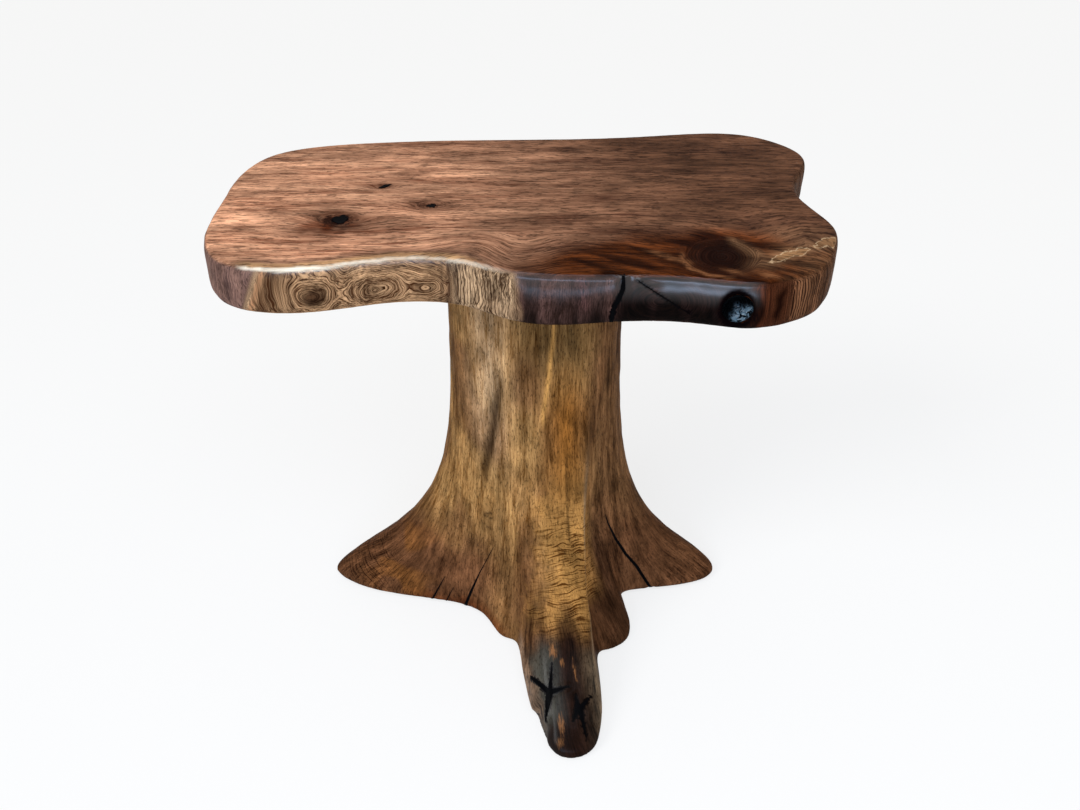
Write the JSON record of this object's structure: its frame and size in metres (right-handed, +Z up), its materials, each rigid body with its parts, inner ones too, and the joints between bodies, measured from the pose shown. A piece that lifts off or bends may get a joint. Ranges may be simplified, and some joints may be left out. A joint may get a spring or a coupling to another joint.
{
  "type": "live edge side table",
  "caption": "Side table with a waney-edged walnut slab on a tree-stump base with flared roots, its cracks and knots filled with black resin.",
  "frame": {"origin": "on the floor, under the middle of the whole table's footprint box", "axes": "+Z up, +X along the slab's grain to the right as seen from the front, +Y to the back"},
  "size_m": [0.7359, 0.6088, 0.61],
  "materials": {
    "slab_walnut": "oiled satin walnut heartwood with a waney sapwood edge",
    "stump_walnut": "sanded and oiled sapwood, dark towards the toes",
    "black_resin": "poured black epoxy, polished",
    "plate_steel": "black painted mild steel",
    "zinc_steel": "bright zinc plated",
    "insert_brass": "plain turned brass",
    "felt": "dark brown pressed felt"
  },
  "bodies": {
    "root": {"tabletop": "slab_walnut", "stump": "stump_walnut", "edge_crack_fill": "black_resin", "edge_check_fill": "black_resin", "knot_hole_lining": "black_resin", "top_knot_fill": "black_resin", "pin_knot_fill": "black_resin", "bark_pocket_fill": "black_resin", "left_root_crack_fills": "black_resin", "right_root_crack_fill": "black_resin", "front_toe_star_fill": "black_resin", "front_toe_shake_fill": "black_resin", "mounting_plate": "plate_steel", "stump_screws": "zinc_steel", "top_bolts": "zinc_steel", "top_bolt_washers": "zinc_steel", "threaded_inserts": "insert_brass", "foot_pad_left": "felt", "foot_pad_front": "felt", "foot_pad_right": "felt", "foot_pad_rear": "felt"}
  },
  "joints": []
}
